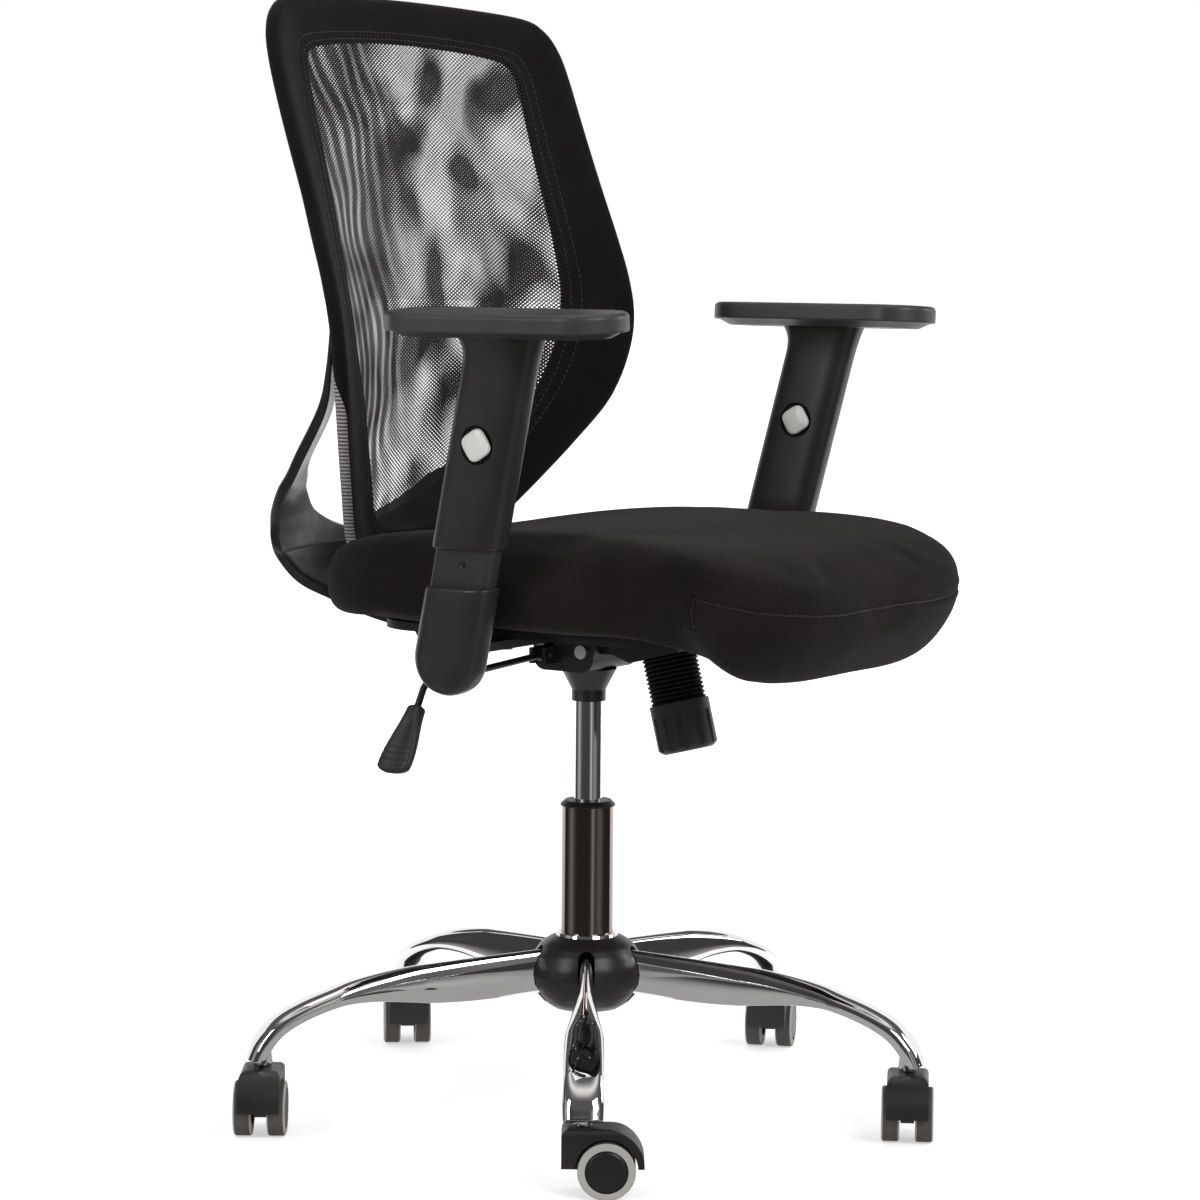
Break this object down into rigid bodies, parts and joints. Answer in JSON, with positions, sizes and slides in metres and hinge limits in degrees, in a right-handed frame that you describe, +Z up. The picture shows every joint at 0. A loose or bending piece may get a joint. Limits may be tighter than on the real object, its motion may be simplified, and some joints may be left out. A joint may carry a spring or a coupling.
{
  "type": "swivel office chair",
  "caption": "Swivel task chair with a bowed mesh back, padded seat, sliding armrests, tilt mechanism and chromed star base on twin-wheel casters.",
  "frame": {"origin": "on the floor under the column's axis", "axes": "+Z up, -Y towards the sitter's front, -X towards the sitter's right"},
  "size_m": [0.7004, 0.6995, 1.0695],
  "materials": {
    "chrome": "polished",
    "chrome_rod": "polished",
    "dark_chrome": "polished, smoked",
    "zinc_steel": "zinc plated",
    "grey_steel": "plain",
    "spring_steel": "plain",
    "black_steel": "satin powder coat",
    "hub_plastic": "satin",
    "black_nylon": "satin",
    "wheel_nylon": "satin",
    "grey_tread": "matt",
    "knob_plastic": "satin",
    "black_rubber": "matt",
    "shell_plastic": "matt",
    "seat_fabric": "knitted",
    "yoke_plastic": "semi-gloss",
    "frame_plastic": "satin",
    "back_mesh": "open mesh",
    "arm_plastic": "satin",
    "post_plastic": "satin",
    "pad_rubber": "soft, fine grain",
    "button_silver": "satin silver"
  },
  "bodies": {
    "base": {"star_base": "chrome", "hub_cover": "hub_plastic", "column_tube": "dark_chrome", "column_bush": "black_nylon", "caster_stems": "zinc_steel"},
    "swivel": {"piston_rod": "zinc_steel"},
    "lift": {"gas_cylinder": "chrome_rod", "mechanism_pan": "black_steel", "taper_socket": "grey_steel", "mechanism_pins": "zinc_steel", "tension_spring": "spring_steel", "tension_bellows": "black_rubber"},
    "knob_carrier": {"spring_washer": "zinc_steel"},
    "knob": {"tension_knob": "knob_plastic"},
    "lever": {"lever_rod": "black_steel", "lever_paddle": "knob_plastic"},
    "seat": {"tension_bolt": "zinc_steel", "seat_plate": "black_steel", "seat_shell": "shell_plastic", "seat_cushion": "seat_fabric", "seat_bolts": "zinc_steel", "yoke": "yoke_plastic", "back_frame": "frame_plastic", "back_cover": "back_mesh", "arm_bars": "black_steel", "right_arm_boot": "arm_plastic", "right_arm_post": "post_plastic", "left_arm_boot": "arm_plastic", "left_arm_post": "post_plastic"},
    "right_arm": {"right_arm_sleeve": "arm_plastic", "right_arm_pad": "pad_rubber"},
    "right_button": {"right_arm_button": "button_silver"},
    "left_arm": {"left_arm_sleeve": "arm_plastic", "left_arm_pad": "pad_rubber"},
    "left_button": {"left_arm_button": "button_silver"},
    "caster_1": {"caster_1_housing": "black_nylon"},
    "caster_1_left": {"caster_1_left_wheel": "wheel_nylon", "caster_1_left_tread": "grey_tread"},
    "caster_1_right": {"caster_1_right_wheel": "wheel_nylon", "caster_1_right_tread": "grey_tread"},
    "caster_2": {"caster_2_housing": "black_nylon"},
    "caster_2_left": {"caster_2_left_wheel": "wheel_nylon", "caster_2_left_tread": "grey_tread"},
    "caster_2_right": {"caster_2_right_wheel": "wheel_nylon", "caster_2_right_tread": "grey_tread"},
    "caster_3": {"caster_3_housing": "black_nylon"},
    "caster_3_left": {"caster_3_left_wheel": "wheel_nylon", "caster_3_left_tread": "grey_tread"},
    "caster_3_right": {"caster_3_right_wheel": "wheel_nylon", "caster_3_right_tread": "grey_tread"},
    "caster_4": {"caster_4_housing": "black_nylon"},
    "caster_4_left": {"caster_4_left_wheel": "wheel_nylon", "caster_4_left_tread": "grey_tread"},
    "caster_4_right": {"caster_4_right_wheel": "wheel_nylon", "caster_4_right_tread": "grey_tread"},
    "caster_5": {"caster_5_housing": "black_nylon"},
    "caster_5_left": {"caster_5_left_wheel": "wheel_nylon", "caster_5_left_tread": "grey_tread"},
    "caster_5_right": {"caster_5_right_wheel": "wheel_nylon", "caster_5_right_tread": "grey_tread"}
  },
  "joints": [
    {"name": "seat_swivel", "type": "hinge", "parent": "base", "child": "swivel", "pos_m": [0, 0, 0.1], "axis": [0, 0, 1], "continuous": true},
    {"name": "seat_height", "type": "slide", "parent": "swivel", "child": "lift", "axis": [0, 0, 1], "range_m": [-0.09, 0]},
    {"name": "seat_tilt", "type": "hinge", "parent": "lift", "child": "seat", "pos_m": [0, -0.018, 0.45], "axis": [-1, 0, 0], "range_deg": [0, 12], "stiffness_Nm_per_rad": 90, "springref_deg": -14.32, "deforming": ["tension_spring", "tension_bellows"]},
    {"name": "knob_travel", "type": "slide", "parent": "seat", "child": "knob_carrier", "axis": [0, -0.2504, -0.9681], "range_m": [0, 0.004]},
    {"name": "knob_turn", "type": "hinge", "parent": "knob_carrier", "child": "knob", "pos_m": [0, -0.102, 0.405], "axis": [0, -0.2504, -0.9681], "range_deg": [0, 720]},
    {"name": "lever_lift", "type": "hinge", "parent": "lift", "child": "lever", "pos_m": [-0.051, 0.02, 0.446], "axis": [0, 1, 0], "range_deg": [0, 5], "stiffness_Nm_per_rad": 3, "springref_deg": -4.58},
    {"name": "right_arm_height", "type": "slide", "parent": "seat", "child": "right_arm", "axis": [-0.0541, -0.2314, 0.9714], "range_m": [-0.03, 0.045]},
    {"name": "right_button_press", "type": "slide", "parent": "right_arm", "child": "right_button", "axis": [0.9985, -0.0125, 0.0526], "range_m": [0, 0.003], "stiffness_N_per_m": 600, "springref_m": -0.002},
    {"name": "left_arm_height", "type": "slide", "parent": "seat", "child": "left_arm", "axis": [0.0541, -0.2314, 0.9714], "range_m": [-0.03, 0.045]},
    {"name": "left_button_press", "type": "slide", "parent": "left_arm", "child": "left_button", "axis": [0.9985, 0.0125, -0.0526], "range_m": [0, 0.003], "stiffness_N_per_m": 600, "springref_m": -0.002},
    {"name": "caster_1_swivel", "type": "hinge", "parent": "base", "child": "caster_1", "pos_m": [-0.26868, -0.17382, 0.06], "axis": [0, 0, 1], "continuous": true},
    {"name": "caster_1_left_spin", "type": "hinge", "parent": "caster_1", "child": "caster_1_left", "pos_m": [-0.25715, -0.19137, 0.0258], "axis": [0.8358, 0.549, 0], "continuous": true},
    {"name": "caster_1_right_spin", "type": "hinge", "parent": "caster_1", "child": "caster_1_right", "pos_m": [-0.25715, -0.19137, 0.0258], "axis": [0.8358, 0.549, 0], "continuous": true},
    {"name": "caster_2_swivel", "type": "hinge", "parent": "base", "child": "caster_2", "pos_m": [0.08228, -0.30924, 0.06], "axis": [0, 0, 1], "continuous": true},
    {"name": "caster_2_left_spin", "type": "hinge", "parent": "caster_2", "child": "caster_2_left", "pos_m": [0.06374, -0.3191, 0.0258], "axis": [0.4695, -0.8829, 0], "continuous": true},
    {"name": "caster_2_right_spin", "type": "hinge", "parent": "caster_2", "child": "caster_2_right", "pos_m": [0.06374, -0.3191, 0.0258], "axis": [0.4695, -0.8829, 0], "continuous": true},
    {"name": "caster_3_swivel", "type": "hinge", "parent": "base", "child": "caster_3", "pos_m": [0.31953, -0.01731, 0.06], "axis": [0, 0, 1], "continuous": true},
    {"name": "caster_3_left_spin", "type": "hinge", "parent": "caster_3", "child": "caster_3_left", "pos_m": [0.33886, -0.0091, 0.0258], "axis": [-0.3907, 0.9205, 0], "continuous": true},
    {"name": "caster_3_right_spin", "type": "hinge", "parent": "caster_3", "child": "caster_3_right", "pos_m": [0.33886, -0.0091, 0.0258], "axis": [-0.3907, 0.9205, 0], "continuous": true},
    {"name": "caster_4_swivel", "type": "hinge", "parent": "base", "child": "caster_4", "pos_m": [0.1152, 0.29855, 0.06], "axis": [0, 0, 1], "continuous": true},
    {"name": "caster_4_left_spin", "type": "hinge", "parent": "caster_4", "child": "caster_4_left", "pos_m": [0.13175, 0.31147, 0.0258], "axis": [-0.6157, 0.788, 0], "continuous": true},
    {"name": "caster_4_right_spin", "type": "hinge", "parent": "caster_4", "child": "caster_4_right", "pos_m": [0.13175, 0.31147, 0.0258], "axis": [-0.6157, 0.788, 0], "continuous": true},
    {"name": "caster_5_swivel", "type": "hinge", "parent": "base", "child": "caster_5", "pos_m": [-0.24834, 0.20182, 0.06], "axis": [0, 0, 1], "continuous": true},
    {"name": "caster_5_left_spin", "type": "hinge", "parent": "caster_5", "child": "caster_5_left", "pos_m": [-0.26589, 0.19029, 0.0258], "axis": [0.549, -0.8358, 0], "continuous": true},
    {"name": "caster_5_right_spin", "type": "hinge", "parent": "caster_5", "child": "caster_5_right", "pos_m": [-0.26589, 0.19029, 0.0258], "axis": [0.549, -0.8358, 0], "continuous": true}
  ],
  "couplings": [
    {"joint": "knob_travel", "follows": "knob_turn", "m_per_rad": 0.00031831}
  ]
}
